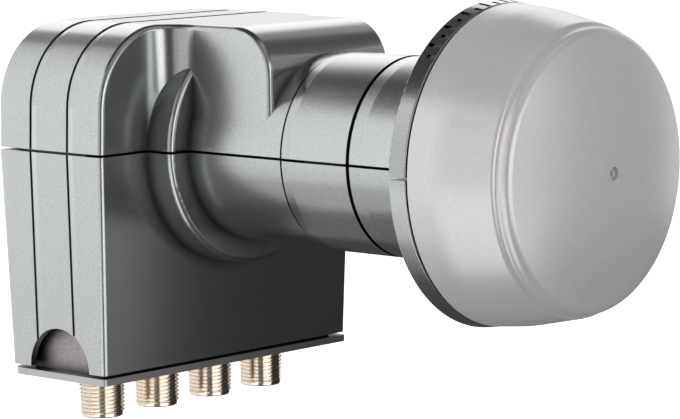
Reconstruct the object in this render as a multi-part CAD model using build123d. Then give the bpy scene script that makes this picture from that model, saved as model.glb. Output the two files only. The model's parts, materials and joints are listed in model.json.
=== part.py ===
from build123d import *
import os
from math import cos, radians, sin, tan

# Satellite LNB with four outputs. Sizes are in millimetres.
# The horn looks along -Y, +X is the width and +Z is up.
# The origin is on the axis of the neck, in the middle of the length that the dish clamp holds.

# Neck that the dish clamp holds
NECK_R = 20.0
NECK_WALL = 2.1
CLAMP_LEN = 14.6
NECK_BEVEL = 3.0
NECK_STEP = 0.12
NECK_SLOT = 0.8
NECK_GROOVE = 0.9
ROOT_STEP = 0.5
ROOT_LEN = 24.8
END_LEN = 20.85

# Ring in front of the neck, with the ticks of the skew scale
RING_R = 31.75
RING_TAPER = 0.55
RING_T = 3.65
RING_EDGE = 0.3
TICK_COUNT = 19
TICK_STEP = 5.0
TICK_W = 0.9
TICK_DEPTH = 0.1
TICK_EDGE = 0.3
TICK_SHORT = 1.7
TICK_LONG = 2.8

# Round boss between the box and the neck
DISC_R = 24.6
DISC_T = 6.7
DISC_EDGE = 1.1

# Box behind the neck
BOX_HALF = 37.7
BOX_DEPTH = 29.6
ROOF_Z = 25.4
ROOF_LEAN = 0.75
ROOF_R = 17.0
FLOOR_DROP = 44.5
FLOOR_LEAN = 1.25
FRONT_DRAFT = 1.25
REAR_DRAFT = 1.7
EDGE_R = 1.1
REAR_R = 1.0
BAND_FIRST = 9.9
BAND_PITCH = 10.6
BAND_STEP = 0.2
BAND_DEPTH = 0.35
BAND_SLOT = 0.45
BAND_BEVEL = 1.5
ARCH_R = 8.5
ARCH_BACK = 14.05

# Hood on top of the neck
HOOD_HALF = 18.05
HOOD_LEN = 27.7
HOOD_R = 9.6
HOOD_FILLET = 7.0

# The two shells, their seam and what they bear on
WALL = 1.6
SEAM = 0.55
SEAM_STEP = 0.05
TONGUE_T = 1.0
TONGUE_H = 2.0
TONGUE_ROOT = 4.0
TONGUE_CLEAR = 0.3
TONGUE_INSET = 6.0
PAD_X = 10.0
PAD_W = 3.0
PAD_INSET = 8.0
RIB_INSET = 7.3
RIB_W = 2.0
RIB_H = 30.0
RIB_DROP = 6.0
RIB_BITE = 0.2

# Cap over the horn
CAP_GAP = 0.5
CAP_INSET = 0.05
CAP_WALL = 1.6
CAP_CLEAR = 0.35
CAP_TAPER = 0.65
CAP_BEND = 7.0
CAP_BEND_R = 25.0
CAP_DRAW_IN = 3.05
CAP_SHOULDER = 18.0
CAP_SHOULDER_R = 0.9
CAP_STEP = 0.85
CAP_STEP_SLOPE = 0.5
CAP_STEP_R = 0.9
CAP_LEN = 24.9
CAP_DOME_R = 93.0
CAP_RIM_EDGE = 1.8
GATE_R = 1.3
GATE_DEPTH = 0.8
GATE_PIP_R = 0.4
GATE_PIP_DROP = 0.15

# Horn with its round waveguide
GUIDE_R = 8.75
TUBE_R = 11.2
HORN_WALL = 2.2
HORN_REAR_R = 17.5
HORN_REAR_T = 4.0
HORN_FLANGE_T = 2.8
HORN_THROAT = 13.6
HORN_BACK_WALL = 2.5
COLLAR_LEN = 10.0
CHOKE_W = 3.6
CHOKE_FLOOR = 5.4
LIP_T = 1.5
LIP_LEN = 12.4
FLARE_LEN = 10.4

# Housing behind the horn, with its lid
HOUSING_GAP = 3.4
HOUSING_SIDE_GAP = 1.5
HOUSING_ROOF_GAP = 2.8
HOUSING_REAR_GAP = 0.6
HOUSING_R = 13.0
HOUSING_WALL = 4.5
HOUSING_FACE = 4.0
GUIDE_BOSS_R = 12.0
LID_T = 1.6
GASKET_INSET = 3.1
GASKET_W = 1.0
GASKET_T = 1.0

# Connector plate and the four outputs
PLATE_GAP = 0.65
PLATE_T = 1.4
PLATE_PROUD = 0.1
PLATE_FRONT_R = 0.8
PLATE_REAR_R = 2.6
PORT_COUNT = 4
PORT_END = 12.5
PORT_R = 4.7
PORT_LEN = 9.05
PORT_CLEAR = 0.15
PORT_RELIEF = 0.4
PORT_RELIEF_LEN = 0.3
PORT_COLLAR_R = 5.8
PORT_COLLAR_T = 1.5
PORT_SHANK_R = 3.5
PORT_EDGE = 0.4
PORT_BORE_R = 3.3
PORT_BORE_LEN = 11.0
PORT_NECK_R = 2.2
INSULATOR_RECESS = 0.5
CONTACT_R = 1.0
CONTACT_RECESS = 0.3
CONTACT_LEN = 8.0
SOCKET_R = 0.45
SOCKET_LEN = 6.0
PIN_R = 0.5
PIN_CLEAR = 0.05
PIN_RISE = 5.5

# Circuit board, shield and the parts between them
BOARD_T = 1.6
BOARD_CLEAR = 0.6
POST_R = 2.8
POST_INSET = 3.8
POST_LOWER = 5.5
POST_RISE = 5.0
SHIELD_GAP = 2.2
SHIELD_HEADROOM = 3.3
SHIELD_RISE = 7.5
SHIELD_R = 6.0
BACKSHORT_LEN = 5.0
PROBE_W = 1.4
PROBE_T = 0.2
PROBE_FROM = 2.5
PROBE_TO = 13.0
CHANNEL_W = 3.0
CHANNEL_T = 1.5
RESONATOR_R = 3.0
RESONATOR_T = 2.4
RESONATOR_X = 14.0
RESONATOR_DROP = 21.0
CAN_R = 5.0
CAN_LEN = 5.0
TUNER_R = 1.5
TUNER_REACH = 1.0
CHIP_SIZE = 7.0
CHIP_T = 1.0
CHIP_RISE = 6.0
REGULATOR_W = 6.0
REGULATOR_H = 3.0
REGULATOR_T = 1.6
REGULATOR_RISE = 3.0
ABSORBER_T = 2.0
ABSORBER_INSET = 1.0

# Screws and O-rings
FIT = 0.1
SCREW_R = 1.0
HEAD_R = 1.6
HEAD_T = 1.3
DRIVE_R = 0.8
DRIVE_DEPTH = 0.7
BITE = 3.0
LID_SCREW_EDGE = 1.7
LID_SCREW_X = 12.0
LID_SCREW_TOP = 2.0
LID_SCREW_DROP = 40.0
HORN_SCREW_R = 14.4
HORN_SCREW_COUNT = 4
HORN_SEAL_R = 10.8
HORN_SEAL_T = 1.6
CAP_SEAL_T = 2.85
OVERCUT = 1.0

# Stations along the axis, from the back of the box to the tip of the cap
GROOVE_REAR = CLAMP_LEN / 2 + NECK_BEVEL
GROOVE_FRONT = -CLAMP_LEN / 2
DISC_FRONT = GROOVE_REAR + ROOT_LEN
BOX_FRONT = DISC_FRONT + DISC_T
BOX_REAR = BOX_FRONT + BOX_DEPTH
HOOD_FRONT = BOX_FRONT - HOOD_LEN
RING_REAR = GROOVE_FRONT - END_LEN
RING_FRONT = RING_REAR - RING_T
CAP_TIP = RING_FRONT - CAP_LEN
SHOULDER_Y = RING_FRONT - CAP_SHOULDER
HOUSING_FRONT = BOX_FRONT + HOUSING_GAP
LID_REAR = BOX_REAR - REAR_DRAFT - WALL - HOUSING_REAR_GAP - HEAD_T
LID_SEAT = LID_REAR - LID_T
PORT_Y = BOX_FRONT + BOX_DEPTH / 2
BOARD_REAR = PORT_Y - PIN_R - PIN_CLEAR
BOARD_FRONT = BOARD_REAR - BOARD_T
SHIELD_REAR = LID_SEAT - ABSORBER_T

# Radii and heights that follow from the sizes above
ROOT_R = NECK_R - ROOT_STEP
BORE_R = NECK_R - NECK_WALL
RING_FRONT_R = RING_R - RING_TAPER
LOWER_HALF = BOX_HALF + SEAM_STEP
FLOOR_HALF = LOWER_HALF - FLOOR_LEAN
CAP_RIM_R = RING_FRONT_R - CAP_INSET
CAP_SIDE_R = CAP_RIM_R - CAP_DRAW_IN
CAP_FACE_R = CAP_SIDE_R - CAP_STEP
HORN_RIM_R = CAP_SIDE_R - CAP_WALL - CAP_CLEAR
HORN_FLANGE_R = CAP_RIM_R - CAP_WALL - CAP_CLEAR
CHOKE_OUT_R = HORN_RIM_R - HORN_WALL
CHOKE_IN_R = CHOKE_OUT_R - CHOKE_W
LIP_R = CHOKE_IN_R - LIP_T
HOUSING_HALF = FLOOR_HALF - WALL - HOUSING_SIDE_GAP
HOUSING_TOP = ROOF_Z - WALL - HOUSING_ROOF_GAP
HOUSING_BOTTOM = -FLOOR_DROP - PLATE_GAP
CHAMBER_BOTTOM = HOUSING_BOTTOM + HOUSING_WALL
PLATE_BOTTOM = HOUSING_BOTTOM - PLATE_T
PORT_BOTTOM = PLATE_BOTTOM - PORT_LEN
PORT_PITCH = 2 * (FLOOR_HALF - PORT_END) / (PORT_COUNT - 1)
SHIELD_HALF = HOUSING_HALF - HOUSING_WALL - SHIELD_GAP
SHIELD_TOP = HOUSING_TOP - HOUSING_WALL - SHIELD_HEADROOM
SHIELD_BOTTOM = CHAMBER_BOTTOM + SHIELD_RISE
CHIP_Z = SHIELD_BOTTOM + CHIP_RISE
REGULATOR_Z = CHAMBER_BOTTOM + REGULATOR_RISE + REGULATOR_H / 2
FAR = BOX_HALF + BOX_DEPTH + FLOOR_DROP + RING_R


def outline(*corners):
    """Close a flat outline through corners given as (x, y) or (x, y, radius)."""
    points = [Vector(corner[0], corner[1]) for corner in corners]
    runs = []
    for i, corner in enumerate(corners):
        here = points[i]
        back = (points[i - 1] - here).normalized()
        ahead = (points[(i + 1) % len(points)] - here).normalized()
        if len(corner) < 3:
            runs.append((here, None, here))
            continue
        half = radians(back.get_angle(ahead) / 2)
        reach = corner[2] / tan(half)
        middle = here + (back + ahead).normalized() * (corner[2] / sin(half) - corner[2])
        runs.append((here + back * reach, middle, here + ahead * reach))
    edges = []
    for i, (start, middle, end) in enumerate(runs):
        if middle is not None:
            edges.append(ThreePointArc(start, middle, end))
        edges.append(Line(end, runs[(i + 1) % len(runs)][0]))
    return make_face(edges)


def turned(*corners):
    """Turn a half section, given as (radius, y), about the axis of the neck."""
    return revolve(outline(*corners), Axis.Y)


def at_y(section, y):
    """Stand a flat section of width and height up at a station."""
    return Plane.XZ.offset(-y) * section


def slab(section, y_from, y_to):
    """Push a section of width and height from one station back to another."""
    return extrude(at_y(section, y_to), amount=y_to - y_from)


def side_prism(section, half):
    """Push a section of depth and height out to both sides."""
    return extrude(Plane.YZ * section, amount=half, both=True)


def block(x_from, x_to, y_from, y_to, z_from, z_to):
    """Block between its six faces."""
    middle = Pos((x_from + x_to) / 2, (y_from + y_to) / 2, (z_from + z_to) / 2)
    return middle * Box(x_to - x_from, y_to - y_from, z_to - z_from)


def rod_y(radius, y_from, y_to, x=0, z=0):
    """Rod along the depth."""
    return Pos(x, (y_from + y_to) / 2, z) * Rot(90, 0, 0) * Cylinder(radius, y_to - y_from)


def rod_z(radius, z_from, z_to, x=0, y=0):
    """Upright rod."""
    return Pos(x, y, (z_from + z_to) / 2) * Cylinder(radius, z_to - z_from)


def screw(shank):
    """Pan-head screw with a hexagon socket, its head standing up from the origin."""
    body = rod_z(HEAD_R, 0, HEAD_T) + rod_z(SCREW_R, -shank, 0)
    socket = extrude(RegularPolygon(DRIVE_R, 6), amount=DRIVE_DEPTH)
    return body - Pos(0, 0, HEAD_T - DRIVE_DEPTH) * socket


def upper_section(inset):
    """Width and height of the upper half of the box."""
    side = BOX_HALF - inset
    roof = BOX_HALF - ROOF_LEAN - inset
    top = ROOF_Z - inset
    return outline((-side, 0), (-roof, top, ROOF_R - inset), (roof, top, ROOF_R - inset), (side, 0))


def lower_section(inset, drop=FLOOR_DROP):
    """Width and height of the lower half of the box."""
    foot = LOWER_HALF - FLOOR_LEAN * drop / FLOOR_DROP - inset
    side = LOWER_HALF - inset
    return outline((-foot, -drop), (-side, 0), (side, 0), (foot, -drop))


def lower_depth(inset, drop=FLOOR_DROP):
    """Depth and height of the lower half of the box."""
    front = BOX_FRONT + FRONT_DRAFT * drop / FLOOR_DROP + inset
    rear = BOX_REAR - REAR_DRAFT * drop / FLOOR_DROP - inset
    return outline((BOX_FRONT + inset, 0), (BOX_REAR - inset, 0), (rear, -drop), (front, -drop))


def hood_section(inset):
    """Depth and height of the hood."""
    rear = BOX_FRONT + WALL + EDGE_R
    top = ROOF_Z - inset
    front = HOOD_FRONT + inset
    return outline((rear, 0), (rear, top), (front, top, HOOD_R - inset), (front, 0))


def housing_section(inset):
    """Width and height of the housing."""
    side = HOUSING_HALF - inset
    top = HOUSING_TOP - inset
    radius = HOUSING_R - inset
    bottom = HOUSING_BOTTOM + inset
    return outline((-side, bottom), (-side, top, radius), (side, top, radius), (side, bottom))


def band_cut(section):
    """The two sawtooth grooves that run round the box."""
    cuts = []
    for back in (BAND_FIRST, BAND_FIRST + BAND_PITCH):
        rear = BOX_FRONT + back
        floor = rear - BAND_SLOT
        front = floor - BAND_BEVEL
        ramp = loft([at_y(section(0), front), at_y(section(BAND_STEP), floor)])
        kept = ramp + slab(section(BAND_DEPTH), floor, rear)
        cuts.append(slab(section(-OVERCUT), front, rear) - kept)
    return cuts


def on_front_rim(edge):
    """Tell whether an edge runs round the front of the box and the hood."""
    middle = edge.center()
    hood_line = abs(middle.X) < HOOD_HALF + HOOD_FILLET + FIT and middle.Y > HOOD_FRONT + FIT
    upright = abs(edge.tangent_at(0).Z) > cos(radians(1))
    in_front = middle.Y < BOX_FRONT + FIT and middle.Z > FIT
    return in_front and abs(middle.X) > FIT and not (hood_line and upright)


# Outside of the neck, boss and ring, turned about the axis, and the space inside them
groove_r = NECK_R - NECK_GROOVE
slot_rear = GROOVE_REAR - NECK_SLOT
slot_front = GROOVE_FRONT - NECK_SLOT
bevel_r = NECK_R - NECK_STEP
neck = turned(
    (0, BOX_FRONT + WALL),
    (DISC_R, BOX_FRONT + WALL),
    (DISC_R, DISC_FRONT, DISC_EDGE),
    (ROOT_R, DISC_FRONT),
    (ROOT_R, GROOVE_REAR),
    (groove_r, GROOVE_REAR),
    (groove_r, slot_rear),
    (bevel_r, slot_rear),
    (NECK_R, CLAMP_LEN / 2),
    (NECK_R, GROOVE_FRONT),
    (groove_r, GROOVE_FRONT),
    (groove_r, slot_front),
    (bevel_r, slot_front),
    (NECK_R, slot_front - NECK_BEVEL),
    (NECK_R, RING_REAR),
    (RING_R, RING_REAR, RING_EDGE),
    (RING_FRONT_R, RING_FRONT, RING_EDGE),
    (0, RING_FRONT),
)
bore = turned(
    (0, BOX_FRONT + WALL + OVERCUT),
    (DISC_R - WALL, BOX_FRONT + WALL + OVERCUT),
    (DISC_R - WALL, DISC_FRONT + WALL),
    (BORE_R, DISC_FRONT + WALL),
    (BORE_R, RING_FRONT - OVERCUT),
    (0, RING_FRONT - OVERCUT),
)
above_seam = block(-FAR, FAR, -FAR, FAR, SEAM / 2, FAR)
below_seam = block(-FAR, FAR, -FAR, FAR, -FAR, -SEAM / 2)

# Upper shell: box roof, hood with its hollow corners, and the upper half of the neck
upper_box = slab(upper_section(0), BOX_FRONT, BOX_REAR)
rear_rim = upper_box.faces().sort_by(Axis.Y)[-1].edges().filter_by(lambda edge: edge.center().Z > FIT)
upper_box = fillet(rear_rim, REAR_R)
corner_y = BOX_FRONT - HOOD_FILLET
corner_x = HOOD_HALF + HOOD_FILLET
hood = side_prism(hood_section(0), HOOD_HALF)
for side in (-1, 1):
    near = min(side * HOOD_HALF, side * corner_x)
    web = block(near, near + HOOD_FILLET, corner_y, BOX_FRONT + WALL, 0, ROOF_Z)
    web &= slab(upper_section(0), corner_y, BOX_FRONT + WALL)
    hood += web - rod_z(HOOD_FILLET, -OVERCUT, ROOF_Z + OVERCUT, side * corner_x, corner_y)
upper_box += hood
upper_box = fillet(upper_box.edges().filter_by(on_front_rim), EDGE_R)
for cut in band_cut(upper_section):
    upper_box -= cut
upper_cover = (upper_box + neck) & above_seam
upper_cover -= slab(upper_section(WALL), BOX_FRONT + WALL, BOX_REAR - WALL)
upper_cover -= side_prism(hood_section(WALL), HOOD_HALF - WALL)
upper_cover -= bore
for side in (-1, 1):
    near = side * PAD_X - PAD_W / 2
    pad_top = ROOF_Z - WALL / 2
    upper_cover += block(
        near, near + PAD_W, BOX_FRONT + PAD_INSET, BOX_REAR - PAD_INSET, HOUSING_TOP, pad_top
    )

# Ticks of the skew scale, sunk into the ring, every second one shorter
tick_place = Pos(0, RING_FRONT, RING_FRONT_R)
for tick in range(TICK_COUNT):
    turn = (tick - (TICK_COUNT - 1) / 2) * TICK_STEP
    length = TICK_SHORT if tick % 2 == 0 else TICK_LONG
    notch = block(-TICK_W / 2, TICK_W / 2, TICK_EDGE, TICK_EDGE + length, -TICK_DEPTH, OVERCUT)
    upper_cover -= Rot(0, turn, 0) * tick_place * notch

# Lower shell: box walls with the arches, the lower half of the neck, and the tongue behind the seam
lower_box = slab(lower_section(0), BOX_FRONT, BOX_REAR) & side_prism(lower_depth(0), FAR)
uprights = lower_box.edges().filter_by(lambda edge: abs(edge.tangent_at(0).Z) > cos(radians(45)))
uprights = uprights.sort_by(Axis.Y)
lower_box = fillet(uprights[:2], EDGE_R)
uprights = lower_box.edges().filter_by(lambda edge: edge.center().Y > BOX_REAR - REAR_DRAFT)
uprights = uprights.filter_by(lambda edge: abs(edge.tangent_at(0).Z) > cos(radians(45)))
lower_box = fillet(uprights, REAR_R)
for cut in band_cut(lower_section):
    lower_box -= cut
lower_cover = (lower_box + neck) & below_seam
hollow_drop = FLOOR_DROP + OVERCUT
hollow = slab(lower_section(WALL, hollow_drop), BOX_FRONT, BOX_REAR)
lower_cover -= hollow & side_prism(lower_depth(WALL, hollow_drop), FAR)
lower_cover -= bore
arch = Pos(0, BOX_FRONT + ARCH_BACK, -FLOOR_DROP) * Rot(0, 90, 0) * Cylinder(ARCH_R, 2 * FAR)
lower_cover -= arch
tongue_x = BOX_HALF - WALL - TONGUE_CLEAR
tongue_y = BOX_REAR - WALL - TONGUE_CLEAR
for side in (-1, 1):
    outer = side * tongue_x
    inner = side * (tongue_x - TONGUE_T)
    root = side * (LOWER_HALF - WALL / 2)
    ends = (BOX_FRONT + TONGUE_INSET, BOX_REAR - TONGUE_INSET)
    lower_cover += block(min(inner, root), max(inner, root), *ends, -TONGUE_ROOT, -SEAM / 2)
    lower_cover += block(min(inner, outer), max(inner, outer), *ends, -TONGUE_ROOT, TONGUE_H)
    near = side * (BOX_HALF - RIB_INSET) - RIB_W / 2
    rib_y = BOX_FRONT + FRONT_DRAFT + RIB_BITE
    lower_cover += block(near, near + RIB_W, rib_y, HOUSING_FRONT, -RIB_DROP - RIB_H, -RIB_DROP)
tongue_half = BOX_HALF - TONGUE_INSET
tongue_in = tongue_y - TONGUE_T
lower_cover += block(-tongue_half, tongue_half, tongue_in, BOX_REAR - WALL / 2, -TONGUE_ROOT, -SEAM / 2)
lower_cover += block(-tongue_half, tongue_half, tongue_in, tongue_y, -TONGUE_ROOT, TONGUE_H)

# Cap: side wall, shoulder, and a raised face that is slightly domed
cap_rear = RING_FRONT - CAP_GAP
bend_y = RING_FRONT - CAP_BEND
step_y = SHOULDER_Y - CAP_STEP_SLOPE
dome_y = CAP_TIP + CAP_DOME_R
cap_inner_y = SHOULDER_Y + CAP_WALL
feed_cap = turned(
    (0, cap_rear),
    (CAP_RIM_R, cap_rear),
    (CAP_RIM_R - CAP_TAPER, bend_y, CAP_BEND_R),
    (CAP_SIDE_R, SHOULDER_Y, CAP_SHOULDER_R),
    (CAP_FACE_R, step_y, CAP_STEP_R),
    (CAP_FACE_R, CAP_TIP),
    (0, CAP_TIP),
)
feed_cap &= Pos(0, dome_y, 0) * Sphere(CAP_DOME_R)
cap_edge = feed_cap.edges().filter_by(lambda edge: edge.is_closed).sort_by(Axis.Y)[0]
feed_cap = fillet(cap_edge, CAP_RIM_EDGE)
feed_cap -= turned(
    (0, cap_rear + OVERCUT),
    (CAP_RIM_R - CAP_WALL, cap_rear + OVERCUT),
    (CAP_RIM_R - CAP_WALL, cap_rear),
    (CAP_RIM_R - CAP_TAPER - CAP_WALL, bend_y),
    (CAP_SIDE_R - CAP_WALL, cap_inner_y),
    (0, cap_inner_y),
)
dome_hollow = rod_y(CAP_FACE_R - CAP_WALL, CAP_TIP, cap_inner_y + OVERCUT)
feed_cap -= dome_hollow & (Pos(0, dome_y, 0) * Sphere(CAP_DOME_R - CAP_WALL))
gate_floor = CAP_TIP + GATE_DEPTH
gate_pip = rod_y(GATE_PIP_R, CAP_TIP + GATE_PIP_DROP, gate_floor + OVERCUT)
feed_cap -= rod_y(GATE_R, CAP_TIP - OVERCUT, gate_floor) - gate_pip

# Horn: rear flange, waveguide tube with its collar, front flange and the mouth with a choke slot
flange_y = RING_FRONT - HORN_FLANGE_T
throat_y = RING_FRONT + HORN_THROAT
flare_y = RING_FRONT - FLARE_LEN
neck_horn_r = BORE_R - FIT
flare_slope = (LIP_R - GUIDE_R) / (HORN_THROAT + FLARE_LEN)
flange_root_r = min(GUIDE_R + flare_slope * HORN_THROAT + HORN_BACK_WALL, neck_horn_r)
feed_horn = turned(
    (GUIDE_R, HOUSING_FRONT),
    (HORN_REAR_R, HOUSING_FRONT),
    (HORN_REAR_R, HOUSING_FRONT - HORN_REAR_T),
    (TUBE_R, HOUSING_FRONT - HORN_REAR_T),
    (TUBE_R, COLLAR_LEN / 2),
    (neck_horn_r, COLLAR_LEN / 2),
    (neck_horn_r, -COLLAR_LEN / 2),
    (TUBE_R, -COLLAR_LEN / 2),
    (TUBE_R, throat_y),
    (flange_root_r, RING_FRONT),
    (HORN_FLANGE_R, RING_FRONT),
    (HORN_FLANGE_R, flange_y),
    (HORN_RIM_R, flange_y),
    (HORN_RIM_R, cap_inner_y),
    (CHOKE_OUT_R, cap_inner_y),
    (CHOKE_OUT_R, RING_FRONT - CHOKE_FLOOR),
    (CHOKE_IN_R, RING_FRONT - CHOKE_FLOOR),
    (CHOKE_IN_R, RING_FRONT - LIP_LEN),
    (LIP_R, RING_FRONT - LIP_LEN),
    (LIP_R, flare_y),
    (GUIDE_R, throat_y),
)
cap_seal_r = HORN_RIM_R + CAP_SEAL_T / 2
cap_seal_place = Pos(0, flange_y - CAP_SEAL_T / 2, 0) * Rot(90, 0, 0)
cap_seal = cap_seal_place * Torus(cap_seal_r, CAP_SEAL_T / 2 - FIT / 2)

# Housing: cast box with the chamber for the board, and the boss that carries the waveguide to it
housing = slab(housing_section(0), HOUSING_FRONT, LID_SEAT)
housing -= slab(housing_section(HOUSING_WALL), HOUSING_FRONT + HOUSING_FACE, LID_SEAT + OVERCUT)
housing += rod_y(GUIDE_BOSS_R, HOUSING_FRONT, BOARD_FRONT)
post_x = SHIELD_HALF - POST_INSET
post_heights = (SHIELD_TOP - POST_LOWER, SHIELD_BOTTOM + POST_RISE)
post_places = [(side * post_x, z) for side in (-1, 1) for z in post_heights]
for x, z in post_places:
    housing += rod_y(POST_R, HOUSING_FRONT + HOUSING_FACE / 2, BOARD_FRONT, x, z)
    housing -= rod_y(SCREW_R + FIT, BOARD_FRONT - BITE - FIT, BOARD_FRONT + OVERCUT, x, z)
housing -= rod_y(GUIDE_R, HOUSING_FRONT - OVERCUT, BOARD_FRONT + OVERCUT)
seal_half = HORN_SEAL_T / 2
seal_groove = rod_y(HORN_SEAL_R + seal_half, HOUSING_FRONT - OVERCUT, HOUSING_FRONT + HORN_SEAL_T)
seal_groove -= rod_y(HORN_SEAL_R - seal_half, HOUSING_FRONT - FAR, HOUSING_FRONT + FAR)
housing -= seal_groove
horn_seal = Pos(0, HOUSING_FRONT + seal_half, 0) * Rot(90, 0, 0) * Torus(HORN_SEAL_R, seal_half - FIT / 2)

# Lid, its gasket in a groove of the housing's rim, and its screws
rear_lid = slab(housing_section(0), LID_SEAT, LID_REAR)
gasket_floor = LID_SEAT - GASKET_T
gasket_groove = slab(housing_section(GASKET_INSET), gasket_floor, LID_SEAT + OVERCUT)
gasket_groove -= slab(housing_section(GASKET_INSET + GASKET_W), gasket_floor - OVERCUT, LID_SEAT + FAR)
housing -= gasket_groove
lid_gasket = slab(housing_section(GASKET_INSET + FIT), gasket_floor, LID_SEAT)
gasket_inner = housing_section(GASKET_INSET + GASKET_W - FIT)
lid_gasket -= slab(gasket_inner, gasket_floor - OVERCUT, LID_SEAT + OVERCUT)
lid_screw_x = HOUSING_HALF - LID_SCREW_EDGE
lid_places = [(side * lid_screw_x, z) for side in (-1, 1) for z in (-LID_SCREW_TOP, -LID_SCREW_DROP)]
lid_places += [(side * LID_SCREW_X, HOUSING_TOP - LID_SCREW_EDGE) for side in (-1, 1)]
for x, z in lid_places:
    rear_lid -= rod_y(SCREW_R + FIT, LID_SEAT - OVERCUT, LID_REAR + OVERCUT, x, z)
    housing -= rod_y(SCREW_R + FIT, LID_SEAT - BITE - FIT, LID_SEAT + OVERCUT, x, z)
lid_screws = [Pos(x, LID_REAR, z) * Rot(-90, 0, 0) * screw(LID_T + BITE) for x, z in lid_places]

# Screws through the horn's rear flange
horn_places = []
for i in range(HORN_SCREW_COUNT):
    angle = radians((i + 1 / 2) * 360 / HORN_SCREW_COUNT)
    horn_places.append((HORN_SCREW_R * cos(angle), HORN_SCREW_R * sin(angle)))
horn_bite = min(BITE, HOUSING_FACE - OVERCUT)
for x, z in horn_places:
    feed_horn -= rod_y(SCREW_R + FIT, HOUSING_FRONT - HORN_REAR_T - OVERCUT, HOUSING_FRONT + OVERCUT, x, z)
    housing -= rod_y(SCREW_R + FIT, HOUSING_FRONT - OVERCUT, HOUSING_FRONT + horn_bite + FIT, x, z)
horn_head_y = HOUSING_FRONT - HORN_REAR_T
horn_shank = HORN_REAR_T + horn_bite
horn_screws = [Pos(x, horn_head_y, z) * Rot(90, 0, 0) * screw(horn_shank) for x, z in horn_places]

# Connector plate under the housing
plate_half = FLOOR_HALF + PLATE_PROUD
plate_front = BOX_FRONT + FRONT_DRAFT - PLATE_PROUD
plate_rear = BOX_REAR - REAR_DRAFT + PLATE_PROUD
plate_outline = outline(
    (-plate_half, plate_front, PLATE_FRONT_R),
    (plate_half, plate_front, PLATE_FRONT_R),
    (plate_half, plate_rear, PLATE_REAR_R),
    (-plate_half, plate_rear, PLATE_REAR_R),
)
connector_plate = extrude(Plane.XY.offset(PLATE_BOTTOM) * plate_outline, amount=PLATE_T)
port_places = [(i - (PORT_COUNT - 1) / 2) * PORT_PITCH for i in range(PORT_COUNT)]
collar_top = HOUSING_BOTTOM + PORT_COLLAR_T
for x in port_places:
    hole_ends = (PLATE_BOTTOM - OVERCUT, HOUSING_BOTTOM + OVERCUT)
    connector_plate -= rod_z(PORT_R + PORT_CLEAR, *hole_ends, x, PORT_Y)
    housing -= rod_z(PORT_COLLAR_R + FIT, HOUSING_BOTTOM - OVERCUT, collar_top, x, PORT_Y)
    housing -= rod_z(PORT_SHANK_R + FIT, HOUSING_BOTTOM, CHAMBER_BOTTOM + OVERCUT, x, PORT_Y)
plate_screw_places = [(port_places[0] + port_places[1]) / 2, (port_places[-2] + port_places[-1]) / 2]
for x in plate_screw_places:
    connector_plate -= rod_z(SCREW_R + FIT, PLATE_BOTTOM - OVERCUT, HOUSING_BOTTOM + OVERCUT, x, PORT_Y)
    housing -= rod_z(SCREW_R + FIT, HOUSING_BOTTOM - OVERCUT, HOUSING_BOTTOM + BITE + FIT, x, PORT_Y)
plate_screws = [
    Pos(x, PORT_Y, PLATE_BOTTOM) * Rot(180, 0, 0) * screw(PLATE_T + BITE) for x in plate_screw_places
]

# One output: barrel with its collar, the insulator inside it, and the contact in the insulator
bore_top = PORT_BOTTOM + PORT_BORE_LEN
barrel = rod_z(PORT_R, PORT_BOTTOM, PLATE_BOTTOM - PORT_RELIEF_LEN)
barrel = chamfer(barrel.edges().sort_by(Axis.Z)[0], PORT_EDGE)
barrel += rod_z(PORT_R - PORT_RELIEF, PORT_BOTTOM + PORT_EDGE, HOUSING_BOTTOM)
barrel += rod_z(PORT_COLLAR_R, HOUSING_BOTTOM, collar_top)
barrel += rod_z(PORT_SHANK_R, HOUSING_BOTTOM, CHAMBER_BOTTOM)
barrel -= rod_z(PORT_BORE_R, PORT_BOTTOM - OVERCUT, bore_top)
barrel -= rod_z(PORT_NECK_R, PORT_BOTTOM, CHAMBER_BOTTOM + OVERCUT)
insulator_bottom = PORT_BOTTOM + INSULATOR_RECESS
contact_bottom = insulator_bottom + CONTACT_RECESS
contact_top = contact_bottom + CONTACT_LEN
insulator = rod_z(PORT_BORE_R - FIT, insulator_bottom, bore_top)
insulator += rod_z(PORT_NECK_R - FIT, insulator_bottom, CHAMBER_BOTTOM)
insulator -= rod_z(CONTACT_R + FIT, insulator_bottom - OVERCUT, contact_top)
insulator -= rod_z(PIN_R + FIT, insulator_bottom, CHAMBER_BOTTOM + OVERCUT)
contact = rod_z(CONTACT_R, contact_bottom, contact_top)
contact += rod_z(PIN_R, contact_bottom, CHAMBER_BOTTOM + PIN_RISE)
contact -= rod_z(SOCKET_R, contact_bottom - OVERCUT, contact_bottom + SOCKET_LEN)

# Circuit board across the end of the waveguide
main_board = slab(housing_section(HOUSING_WALL + BOARD_CLEAR), BOARD_FRONT, BOARD_REAR)
for x, z in post_places:
    main_board -= rod_y(SCREW_R + FIT, BOARD_FRONT - OVERCUT, BOARD_REAR + OVERCUT, x, z)

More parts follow.
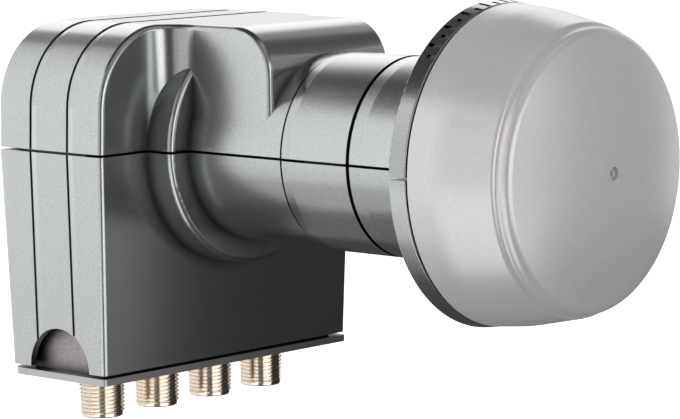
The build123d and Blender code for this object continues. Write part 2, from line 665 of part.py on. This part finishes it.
# Shield behind the board, with the back short, a channel for each probe and a can for each resonator
shield_section = outline(
    (-SHIELD_HALF, SHIELD_BOTTOM),
    (-SHIELD_HALF, SHIELD_TOP, SHIELD_R),
    (SHIELD_HALF, SHIELD_TOP, SHIELD_R),
    (SHIELD_HALF, SHIELD_BOTTOM),
)
shield_near = BOARD_REAR - OVERCUT
backshort_shield = slab(shield_section, BOARD_REAR, SHIELD_REAR)
backshort_shield -= rod_y(GUIDE_R, shield_near, BOARD_REAR + BACKSHORT_LEN)
channel_reach = PROBE_TO + OVERCUT
channel_y = BOARD_REAR + CHANNEL_T
backshort_shield -= block(0, channel_reach, shield_near, channel_y, -CHANNEL_W / 2, CHANNEL_W / 2)
backshort_shield -= block(-CHANNEL_W / 2, CHANNEL_W / 2, shield_near, channel_y, -channel_reach, 0)
chip_half = CHIP_SIZE / 2 + OVERCUT
chip_y = BOARD_REAR + CHIP_T + OVERCUT
chip_heights = (CHIP_Z - chip_half, CHIP_Z + chip_half)
backshort_shield -= block(-chip_half, chip_half, shield_near, chip_y, *chip_heights)
can_places = [(side * RESONATOR_X, -RESONATOR_DROP) for side in (-1, 1)]
for x, z in can_places:
    backshort_shield -= rod_y(CAN_R, shield_near, BOARD_REAR + CAN_LEN, x, z)
    backshort_shield -= rod_y(TUNER_R + FIT / 2, BOARD_REAR, SHIELD_REAR + OVERCUT, x, z)
seat_y = SHIELD_REAR - HEAD_T - FIT
for x, z in post_places:
    backshort_shield -= rod_y(HEAD_R + FIT, seat_y, SHIELD_REAR + OVERCUT, x, z)
    backshort_shield -= rod_y(SCREW_R + FIT, shield_near, SHIELD_REAR, x, z)
shield_shank = seat_y - BOARD_FRONT + BITE
shield_screws = [Pos(x, seat_y, z) * Rot(-90, 0, 0) * screw(shield_shank) for x, z in post_places]
resonators = [rod_y(RESONATOR_R, BOARD_REAR, BOARD_REAR + RESONATOR_T, x, z) for x, z in can_places]
tuner_front = BOARD_REAR + CAN_LEN - TUNER_REACH
tuning_screws = []
for x, z in can_places:
    tuner = rod_y(TUNER_R, tuner_front, SHIELD_REAR, x, z)
    slot = block(x - TUNER_R, x + TUNER_R, SHIELD_REAR - DRIVE_DEPTH, SHIELD_REAR, z - FIT, z + FIT)
    tuning_screws.append(tuner - slot)

# Probes, chips and the pad behind the shield
probe_y = BOARD_REAR + PROBE_T
probe_h = block(PROBE_FROM, PROBE_TO, BOARD_REAR, probe_y, -PROBE_W / 2, PROBE_W / 2)
probe_v = block(-PROBE_W / 2, PROBE_W / 2, BOARD_REAR, probe_y, -PROBE_TO, -PROBE_FROM)
switch_chip = Pos(0, BOARD_REAR + CHIP_T / 2, CHIP_Z) * Box(CHIP_SIZE, CHIP_T, CHIP_SIZE)
regulator_place = Pos(0, BOARD_REAR + REGULATOR_T / 2, REGULATOR_Z)
regulator_chip = regulator_place * Box(REGULATOR_W, REGULATOR_T, REGULATOR_H)
pad_half = SHIELD_HALF - ABSORBER_INSET
absorber_section = outline(
    (-pad_half, SHIELD_BOTTOM + ABSORBER_INSET),
    (-pad_half, SHIELD_TOP - ABSORBER_INSET, SHIELD_R - ABSORBER_INSET),
    (pad_half, SHIELD_TOP - ABSORBER_INSET, SHIELD_R - ABSORBER_INSET),
    (pad_half, SHIELD_BOTTOM + ABSORBER_INSET),
)
absorber_pad = slab(absorber_section, SHIELD_REAR, LID_SEAT)

pieces = {
    "upper_cover": upper_cover,
    "lower_cover": lower_cover,
    "feed_cap": feed_cap,
    "cap_seal": cap_seal,
    "feed_horn": feed_horn,
    "horn_seal": horn_seal,
    "housing": housing,
    "rear_lid": rear_lid,
    "lid_gasket": lid_gasket,
    "connector_plate": connector_plate,
    "main_board": main_board,
    "backshort_shield": backshort_shield,
    "probe_h": probe_h,
    "probe_v": probe_v,
    "switch_chip": switch_chip,
    "regulator_chip": regulator_chip,
    "absorber_pad": absorber_pad,
}
for name, group in (
    ("horn_screw", horn_screws),
    ("lid_screw", lid_screws),
    ("plate_screw", plate_screws),
    ("shield_screw", shield_screws),
    ("resonator", resonators),
    ("tuning_screw", tuning_screws),
):
    for number, piece in enumerate(group, 1):
        pieces[f"{name}_{number}"] = piece
for number, x in enumerate(port_places, 1):
    place = Pos(x, PORT_Y, 0)
    pieces[f"f_connector_{number}"] = place * barrel
    pieces[f"insulator_{number}"] = place * insulator
    pieces[f"contact_{number}"] = place * contact

os.makedirs("parts", exist_ok=True)
for name, piece in pieces.items():
    export_step(piece, f"parts/{name}.step")
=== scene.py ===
import json
import math

import bmesh
import bpy
from mathutils import Euler, Matrix, Vector


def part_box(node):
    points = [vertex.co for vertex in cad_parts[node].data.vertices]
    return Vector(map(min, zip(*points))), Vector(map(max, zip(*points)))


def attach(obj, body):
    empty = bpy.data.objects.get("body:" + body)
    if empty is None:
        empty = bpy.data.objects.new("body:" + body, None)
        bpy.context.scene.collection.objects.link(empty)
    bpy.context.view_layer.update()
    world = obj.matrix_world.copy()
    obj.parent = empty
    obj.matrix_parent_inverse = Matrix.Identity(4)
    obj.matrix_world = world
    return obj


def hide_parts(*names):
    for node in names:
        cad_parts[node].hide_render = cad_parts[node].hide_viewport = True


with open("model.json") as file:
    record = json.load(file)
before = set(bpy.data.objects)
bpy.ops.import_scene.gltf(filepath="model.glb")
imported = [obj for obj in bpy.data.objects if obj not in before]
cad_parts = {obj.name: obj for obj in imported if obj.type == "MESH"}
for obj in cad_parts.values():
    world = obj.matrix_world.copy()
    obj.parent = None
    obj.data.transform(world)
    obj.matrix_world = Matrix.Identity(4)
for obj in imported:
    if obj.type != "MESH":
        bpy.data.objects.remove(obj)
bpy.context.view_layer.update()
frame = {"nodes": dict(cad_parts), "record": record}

nodes = frame["nodes"]
mounts = {mount["name"]: mount for mount in frame["record"]["mounts"]}
MM = 0.001
MICRON = 1e-6


# Materials: every finish has a fine grain of its own, in the metres of the shared frame

GRAIN_DETAIL = 3.0
GRAIN_DARK = 0.3
GRAIN_LIGHT = 0.7
# Painted shade: these darken colours in gaps and hollow corners, by how closed in the surface is
PAINTED_SHADE_DARK = 0.35
PAINTED_SHADE_CLEAR = 0.85
PAINTED_SHADE_LEVEL = 0.18
PAINTED_SHADE_SAMPLES = 8


def shaded(tree, colour, distance):
    """Paint shade into a colour: darken it where the surface is closed in within a distance."""
    closed = tree.nodes.new("ShaderNodeAmbientOcclusion")
    closed.samples = PAINTED_SHADE_SAMPLES
    closed.inputs["Distance"].default_value = distance
    depth = tree.nodes.new("ShaderNodeMapRange")
    depth.inputs["From Min"].default_value = PAINTED_SHADE_DARK
    depth.inputs["From Max"].default_value = PAINTED_SHADE_CLEAR
    depth.inputs["To Min"].default_value = PAINTED_SHADE_LEVEL
    tree.links.new(closed.outputs["AO"], depth.inputs["Value"])
    mix = tree.nodes.new("ShaderNodeMix")
    mix.data_type = "RGBA"
    mix.blend_type = "MULTIPLY"
    mix.inputs["Factor"].default_value = 1.0
    tree.links.new(colour, mix.inputs["A"])
    tree.links.new(depth.outputs["Result"], mix.inputs["B"])
    return mix.outputs["Result"]


def finish(name, dark, light, metallic, rough, grain, bump, stretch=(1, 1, 1), painted_shade_reach=0.0):
    """A material whose colour and roughness vary with a fine grain, with the same grain as bump.

    With a distance given, shade is painted into its colour in gaps and hollow corners that are closer
    than that.
    """
    material = bpy.data.materials.new(name)
    material.use_nodes = True
    tree = material.node_tree
    shader = tree.nodes["Principled BSDF"]
    shader.inputs["Metallic"].default_value = metallic
    place = tree.nodes.new("ShaderNodeTexCoord")
    mapping = tree.nodes.new("ShaderNodeMapping")
    mapping.inputs["Scale"].default_value = stretch
    tree.links.new(place.outputs["Object"], mapping.inputs["Vector"])
    noise = tree.nodes.new("ShaderNodeTexNoise")
    noise.inputs["Scale"].default_value = grain
    noise.inputs["Detail"].default_value = GRAIN_DETAIL
    tree.links.new(mapping.outputs["Vector"], noise.inputs["Vector"])
    ramp = tree.nodes.new("ShaderNodeValToRGB")
    ramp.color_ramp.elements[0].position = GRAIN_DARK
    ramp.color_ramp.elements[0].color = (*dark, 1)
    ramp.color_ramp.elements[1].position = GRAIN_LIGHT
    ramp.color_ramp.elements[1].color = (*light, 1)
    tree.links.new(noise.outputs["Fac"], ramp.inputs["Fac"])
    colour = ramp.outputs["Color"]
    # Painted shade in gaps and hollow corners
    if painted_shade_reach:
        colour = shaded(tree, colour, painted_shade_reach)
    tree.links.new(colour, shader.inputs["Base Color"])
    spread = tree.nodes.new("ShaderNodeMapRange")
    spread.inputs["To Min"].default_value = rough[0]
    spread.inputs["To Max"].default_value = rough[1]
    tree.links.new(noise.outputs["Fac"], spread.inputs["Value"])
    tree.links.new(spread.outputs["Result"], shader.inputs["Roughness"])
    relief = tree.nodes.new("ShaderNodeBump")
    relief.inputs["Strength"].default_value = 1.0
    relief.inputs["Distance"].default_value = bump
    tree.links.new(noise.outputs["Fac"], relief.inputs["Height"])
    tree.links.new(relief.outputs["Normal"], shader.inputs["Normal"])
    return material


# cover_paint, plate_metal and die_cast carry painted shade in gaps and hollow corners, out to the
# distance given last
FINISHES = {
    "cover_paint": dict(
        dark=(0.52, 0.535, 0.54), light=(0.61, 0.625, 0.63), metallic=1.0, rough=(0.2, 0.26),
        grain=2600, bump=0.6 * MICRON, painted_shade_reach=5 * MM),
    "cap_plastic": dict(
        dark=(0.59, 0.57, 0.57), light=(0.65, 0.63, 0.635), metallic=0.5, rough=(0.27, 0.35),
        grain=2200, bump=4 * MICRON),
    "plate_metal": dict(
        dark=(0.5, 0.49, 0.48), light=(0.62, 0.61, 0.6), metallic=1.0, rough=(0.3, 0.42),
        grain=900, bump=2 * MICRON, stretch=(1, 6, 6), painted_shade_reach=6 * MM),
    "nickel": dict(
        dark=(0.93, 0.81, 0.69), light=(0.99, 0.92, 0.83), metallic=1.0, rough=(0.12, 0.18),
        grain=1200, bump=1 * MICRON),
    "die_cast": dict(
        dark=(0.36, 0.34, 0.335), light=(0.5, 0.48, 0.475), metallic=1.0, rough=(0.4, 0.55),
        grain=1500, bump=6 * MICRON, painted_shade_reach=4.5 * MM),
    "steel": dict(
        dark=(0.5, 0.5, 0.5), light=(0.62, 0.62, 0.62), metallic=1.0, rough=(0.22, 0.34),
        grain=1800, bump=1 * MICRON),
    "seal": dict(
        dark=(0.015, 0.015, 0.016), light=(0.035, 0.035, 0.036), metallic=0.0, rough=(0.6, 0.75),
        grain=1500, bump=5 * MICRON),
    "insulator": dict(
        dark=(0.78, 0.77, 0.74), light=(0.86, 0.85, 0.82), metallic=0.0, rough=(0.35, 0.45),
        grain=900, bump=3 * MICRON),
    "contact": dict(
        dark=(0.62, 0.46, 0.22), light=(0.76, 0.58, 0.32), metallic=1.0, rough=(0.2, 0.3),
        grain=1500, bump=1 * MICRON),
    "board": dict(
        dark=(0.03, 0.17, 0.07), light=(0.06, 0.26, 0.12), metallic=0.0, rough=(0.35, 0.5),
        grain=1000, bump=4 * MICRON),
    "copper": dict(
        dark=(0.62, 0.32, 0.18), light=(0.78, 0.46, 0.3), metallic=1.0, rough=(0.25, 0.38),
        grain=1500, bump=1 * MICRON),
    "ceramic": dict(
        dark=(0.62, 0.54, 0.42), light=(0.74, 0.66, 0.53), metallic=0.0, rough=(0.3, 0.42),
        grain=1400, bump=3 * MICRON),
    "chip": dict(
        dark=(0.018, 0.018, 0.02), light=(0.04, 0.04, 0.043), metallic=0.0, rough=(0.45, 0.6),
        grain=2500, bump=4 * MICRON),
    "absorber": dict(
        dark=(0.06, 0.06, 0.065), light=(0.16, 0.16, 0.17), metallic=0.0, rough=(0.8, 0.95),
        grain=700, bump=30 * MICRON),
}
materials = {name: finish(name, **look) for name, look in FINISHES.items()}
for part in frame["record"]["subparts"]:
    for slot in nodes[part["node"]].material_slots:
        slot.link = "OBJECT"
        slot.material = materials[part["material_slot"]]


# Threaded outputs: the plain barrels of the solids, with their real thread

OUTPUTS = 4
FACETS = 72
SHARP_ANGLE = math.radians(30)
INCH = 25.4 * MM
THREADS_PER_INCH = 32
PITCH = INCH / THREADS_PER_INCH
THREAD_DEPTH = 0.45 * MM
THREAD_BITE = 0.05 * MM
CREST_SHARE = 0.14
ROOT_SHARE = 0.2
FADE_TURNS = 0.4
CREST_R = mounts["output_1"]["dims"]["r_mm"] * MM
ROOT_R = CREST_R - THREAD_DEPTH
COLLAR_T = 1.5 * MM
SHANK_R = 3.5 * MM
BORE_R = 3.3 * MM
BORE_LEN = 11 * MM
NECK_R = 2.2 * MM
END_BEVEL = 0.2 * MM
RELIEF_LEN = 0.3 * MM


def around(mesh, radius, angle, z):
    """A corner at a radius and an angle about the upright axis."""
    return mesh.verts.new((radius * math.cos(angle), radius * math.sin(angle), z))


def join(mesh, loops):
    """Close the strip between each loop of corners and the next."""
    for one, two in zip(loops, loops[1:]):
        for i in range(len(one)):
            j = (i + 1) % len(one)
            mesh.faces.new((one[i], one[j], two[j], two[i]))


def add_turned(mesh, profile):
    """Turn a closed profile of (radius, z) about the upright axis."""
    angles = [math.tau * i / FACETS for i in range(FACETS)]
    rings = [[around(mesh, radius, angle, z) for angle in angles] for radius, z in profile]
    join(mesh, rings + rings[:1])


def add_thread(mesh, low, high):
    """Wind one ridge of the thread from a low height to a high one, thinning out at both ends."""
    turns = (high - low) / PITCH
    foot = PITCH * (1 - ROOT_SHARE) / 2
    tip = PITCH * CREST_SHARE / 2
    base = ROOT_R - THREAD_BITE
    rows = []
    for step in range(round(turns * FACETS) + 1):
        turn = step / FACETS
        share = max(0.0, min(1.0, turn / FADE_TURNS, (turns - turn) / FADE_TURNS))
        crest = ROOT_R + THREAD_DEPTH * share
        z = low + PITCH * turn
        section = ((base, z - foot), (crest, z - tip), (crest, z + tip), (base, z + foot))
        rows.append([around(mesh, radius, math.tau * turn, height) for radius, height in section])
    join(mesh, rows)
    mesh.faces.new(rows[0])
    mesh.faces.new(rows[-1])


def threaded_output(number):
    """One output: its bored core, the thread round it, and the collar and shank inside the housing."""
    node = f"f_connector_{number}"
    low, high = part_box(node)
    plate_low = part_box("connector_plate")[0].z
    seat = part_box("connector_plate")[1].z
    collar_r = (high.x - low.x) / 2
    collar_high = seat + COLLAR_T
    bore_high = low.z + BORE_LEN
    mesh = bmesh.new()
    add_turned(mesh, (
        (NECK_R, high.z), (NECK_R, bore_high), (BORE_R, bore_high),
        (BORE_R, low.z + END_BEVEL), (BORE_R + END_BEVEL, low.z),
        (ROOT_R - END_BEVEL, low.z), (ROOT_R, low.z + END_BEVEL),
        (ROOT_R, seat), (collar_r, seat), (collar_r, collar_high),
        (SHANK_R, collar_high), (SHANK_R, high.z)))
    add_thread(mesh, low.z + END_BEVEL + PITCH / 2, plate_low - RELIEF_LEN - PITCH / 2)
    bmesh.ops.recalc_face_normals(mesh, faces=mesh.faces)
    for face in mesh.faces:
        face.smooth = True
    bmesh.ops.translate(mesh, verts=mesh.verts, vec=((low.x + high.x) / 2, (low.y + high.y) / 2, 0))
    data = bpy.data.meshes.new(f"threaded_output_{number}")
    mesh.to_mesh(data)
    mesh.free()
    data.set_sharp_from_angle(angle=SHARP_ANGLE)
    data.materials.append(materials["nickel"])
    piece = bpy.data.objects.new(f"threaded_output_{number}", data)
    bpy.context.scene.collection.objects.link(piece)
    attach(piece, "root")
    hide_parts(node)


for number in range(1, OUTPUTS + 1):
    threaded_output(number)


# Studio: white surroundings, a pale floor, soft lamps, and bright and dark cards that the metal reflects

FLOOR_Z = -0.20
FLOOR_HALF = 6.0
FLOOR_GREY = 0.85
FLOOR_ROUGH = 0.9
FLOOR_GLOW = 0.5
REACH = 0.9
CARD_GAP = 0.02
CARD_LOW = FLOOR_Z + CARD_GAP
CARD_HIGH = 0.9
TABLE_GAP = 0.01
TABLE_Z = FLOOR_Z + TABLE_GAP
TABLE_STEPS = 8
TABLE_MIDDLE = 0.001
CEILING_SPLIT = -0.2
RIGHT_SPLIT = 0.42
NEAR_SPLIT = 0.55
FRONT_SPLIT = 0.35
FRONT_END_HIGH = 0.1
LEFT_SPLIT = 0.4
LEFT_BACK_HIGH = 0.6
FLAG_START = (0.05, -0.03)
FLAG_END = (0.13, 0.06)
FLAG_HIGH = -0.005


def sheet(name, corners, material):
    """A flat staged sheet through its corners."""
    data = bpy.data.meshes.new(name)
    data.from_pydata(corners, [], [tuple(range(len(corners)))])
    data.materials.append(material)
    made = bpy.data.objects.new(name, data)
    bpy.context.scene.collection.objects.link(made)
    return made


def floor_material():
    """A pale floor that keeps shadows; seen unshaded it is white, and from below it is clear."""
    material = bpy.data.materials.new("floor")
    material.use_nodes = True
    tree = material.node_tree
    shader = tree.nodes["Principled BSDF"]
    shader.inputs["Base Color"].default_value = (FLOOR_GREY, FLOOR_GREY, FLOOR_GREY, 1)
    shader.inputs["Roughness"].default_value = FLOOR_ROUGH
    shader.inputs["Emission Color"].default_value = (1, 1, 1, 1)
    path = tree.nodes.new("ShaderNodeLightPath")
    seen = path.outputs["Is Camera Ray"]
    for ray in ("Is Glossy Ray", "Is Transmission Ray"):
        either = tree.nodes.new("ShaderNodeMath")
        either.operation = "MAXIMUM"
        tree.links.new(seen, either.inputs[0])
        tree.links.new(path.outputs[ray], either.inputs[1])
        seen = either.outputs["Value"]
    glow = tree.nodes.new("ShaderNodeMath")
    glow.operation = "MULTIPLY"
    glow.inputs[1].default_value = FLOOR_GLOW
    tree.links.new(seen, glow.inputs[0])
    tree.links.new(glow.outputs["Value"], shader.inputs["Emission Strength"])
    side = tree.nodes.new("ShaderNodeNewGeometry")
    clear = tree.nodes.new("ShaderNodeBsdfTransparent")
    mix = tree.nodes.new("ShaderNodeMixShader")
    tree.links.new(side.outputs["Backfacing"], mix.inputs["Fac"])
    tree.links.new(shader.outputs["BSDF"], mix.inputs[1])
    tree.links.new(clear.outputs["BSDF"], mix.inputs[2])
    tree.links.new(mix.outputs["Shader"], tree.nodes["Material Output"].inputs["Surface"])
    return material


def card_material(name, level):
    """A card that shows one even brightness, whatever lights it."""
    material = bpy.data.materials.new(name)
    material.use_nodes = True
    tree = material.node_tree
    tree.nodes.remove(tree.nodes["Principled BSDF"])
    glow = tree.nodes.new("ShaderNodeEmission")
    glow.inputs["Strength"].default_value = level
    tree.links.new(glow.outputs["Emission"], tree.nodes["Material Output"].inputs["Surface"])
    return material


def polar(azimuth, distance):
    """A place in plan at an azimuth in degrees from the front, positive towards +X."""
    angle = math.radians(azimuth)
    return (distance * math.sin(angle), -distance * math.cos(angle))


def across(half, front, back, z):
    """The corners of a level sheet, from a front edge to a back one."""
    return [(-half, front, z), (half, front, z), (half, back, z), (-half, back, z)]


def hanging(name, front, back, level):
    """A card overhead, from a front edge to a back one."""
    return sheet(name, across(REACH, front, back, CARD_HIGH), card_material(name, level))


def upright(name, start, end, low, high, level):
    """An upright card between two places in plan."""
    corners = [(*start, low), (*end, low), (*end, high), (*start, high)]
    return sheet(name, corners, card_material(name, level))


def standing(name, start, end, level, low=CARD_LOW, high=CARD_HIGH):
    """An upright card round the object, between two azimuths."""
    return upright(name, polar(start, REACH), polar(end, REACH), low, high, level)


def lying(name, start, end, near, far, level):
    """A card that lies just above the floor, between two azimuths and two distances."""
    turns = [start + (end - start) * i / TABLE_STEPS for i in range(TABLE_STEPS + 1)]
    inside = [(*polar(turn, near), TABLE_Z) for turn in turns]
    outside = [(*polar(turn, far), TABLE_Z) for turn in reversed(turns)]
    return sheet(name, inside + outside, card_material(name, level))


def softbox(name, place, size, radiance):
    """A soft lamp that faces the object, given by how bright its face is."""
    lamp = bpy.data.lights.new(name, "AREA")
    lamp.shape = "RECTANGLE"
    lamp.size, lamp.size_y = size
    lamp.energy = radiance * math.pi * size[0] * size[1]
    made = bpy.data.objects.new(name, lamp)
    made.location = place
    made.rotation_euler = (-Vector(place)).to_track_quat("-Z", "Y").to_euler()
    made.visible_camera = False
    bpy.context.scene.collection.objects.link(made)
    return made


sheet("floor", across(FLOOR_HALF, -FLOOR_HALF, FLOOR_HALF, FLOOR_Z), floor_material())

# Cards: azimuths are in degrees from the front, and level 1 is as bright as the white surroundings
right_cards = [
    standing("right_card", start=30, end=76, high=RIGHT_SPLIT, level=0.31),
    standing("right_top_card", start=30, end=90, low=RIGHT_SPLIT, level=0.1),
    standing("right_end_card", start=76, end=112, high=RIGHT_SPLIT, level=1.0),
    standing("right_end_top_card", start=90, end=112, low=RIGHT_SPLIT, level=0.45)]
cards = right_cards + [
    hanging("ceiling_card", front=CEILING_SPLIT, back=REACH, level=0.06),
    hanging("front_ceiling_card", front=-REACH, back=CEILING_SPLIT, level=0.35),
    upright("right_flag", FLAG_START, FLAG_END, low=CARD_LOW, high=FLAG_HIGH, level=0.03),
    standing("near_card", start=-62, end=-32, high=NEAR_SPLIT, level=0.05),
    standing("near_top_card", start=-62, end=-32, low=NEAR_SPLIT, level=0.3),
    standing("front_strip", start=-32, end=10, high=FRONT_SPLIT, level=1.7),
    standing("front_end_card", start=10, end=30, high=FRONT_END_HIGH, level=0.6),
    standing("front_top_card", start=-32, end=30, low=FRONT_SPLIT, level=0.3),
    standing("left_front_card", start=-78, end=-62, high=LEFT_SPLIT, level=0.45),
    standing("left_card", start=-104, end=-78, high=LEFT_SPLIT, level=0.62),
    standing("left_top_card", start=-104, end=-62, low=LEFT_SPLIT, level=0.25),
    standing("left_mid_card", start=-116, end=-104, high=LEFT_BACK_HIGH, level=0.72),
    standing("left_back_card", start=-134, end=-116, high=LEFT_BACK_HIGH, level=1.1),
    standing("left_rear_card", start=-150, end=-134, high=LEFT_BACK_HIGH, level=1.02),
    standing("back_card", start=158, end=180, level=0.35),
    # The lying cards are darker towards the middle, under the object: a painted shadow of the object on
    # the floor, seen only in its metal
    lying("table_far", start=-200, end=-110, near=0.45, far=1.1, level=0.85),
    lying("table_mid", start=-200, end=-110, near=0.2, far=0.45, level=0.55),
    lying("table_near", start=-200, end=-110, near=0.1, far=0.2, level=0.18),
    lying("table_under_painted_shadow", start=-200, end=-110, near=TABLE_MIDDLE, far=0.1, level=0.08),
    lying("table_left", start=-110, end=-64, near=0.08, far=REACH, level=1.2),
    lying("table_left_painted_shadow", start=-110, end=-64, near=TABLE_MIDDLE, far=0.08, level=0.2),
    lying("table_front", start=-64, end=-30, near=TABLE_MIDDLE, far=REACH, level=0.12),
    lying("table_front_strip", start=-30, end=24, near=0.4, far=REACH, level=1.3),
    lying("table_front_painted_shadow", start=-30, end=24, near=TABLE_MIDDLE, far=0.4, level=0.1),
    lying("table_right_far", start=24, end=66, near=0.5, far=REACH, level=0.2),
    lying("table_right_near", start=24, end=66, near=TABLE_MIDDLE, far=0.5, level=0.07),
    lying("table_right", start=66, end=160, near=TABLE_MIDDLE, far=REACH, level=0.07)]

# Only the cards on the right also hold back the white surroundings, so that side of the object is darker
for card in cards:
    card.visible_camera = False
    card.visible_shadow = False
    card.visible_diffuse = card in right_cards

# The first three lamps light the object without showing in its metal
for lamp in (
        softbox("top_softbox", place=(-0.1, 0.1, 0.7), size=(0.4, 0.4), radiance=1.5),
        softbox("left_softbox", place=(*polar(-122, 0.8), 0.1), size=(0.7, 0.6), radiance=1.1),
        softbox("front_softbox", place=(*polar(2, 1.0), 0.15), size=(0.55, 0.7), radiance=0.15)):
    lamp.visible_glossy = False
softbox("back_softbox", place=(*polar(138, 1.3), 0.68), size=(0.9, 0.8), radiance=0.5)

world = bpy.data.worlds.new("surroundings")
world.use_nodes = True
world.node_tree.nodes["Background"].inputs["Color"].default_value = (1, 1, 1, 1)
world.node_tree.nodes["Background"].inputs["Strength"].default_value = 1.0
bpy.context.scene.world = world


# Camera at the photograph's viewpoint, with its place in metres and its turns about X, Y and Z in degrees

EYE_PLACE = (-0.4974295, -0.4283902, 0.0703776)
EYE_TURNS = (82.93555, 0.49106, -48.54715)

camera = bpy.data.cameras.new("camera")
camera.sensor_fit = "HORIZONTAL"
camera.sensor_width = 36.0
camera.lens = 176.17
camera.clip_start = 0.01
camera.clip_end = 50.0
eye = bpy.data.objects.new("camera", camera)
bpy.context.scene.collection.objects.link(eye)
turned = Euler([math.radians(turn) for turn in EYE_TURNS])
eye.matrix_world = Matrix.LocRotScale(Vector(EYE_PLACE), turned, None)
bpy.context.scene.camera = eye
bpy.context.scene.view_settings.view_transform = "Standard"
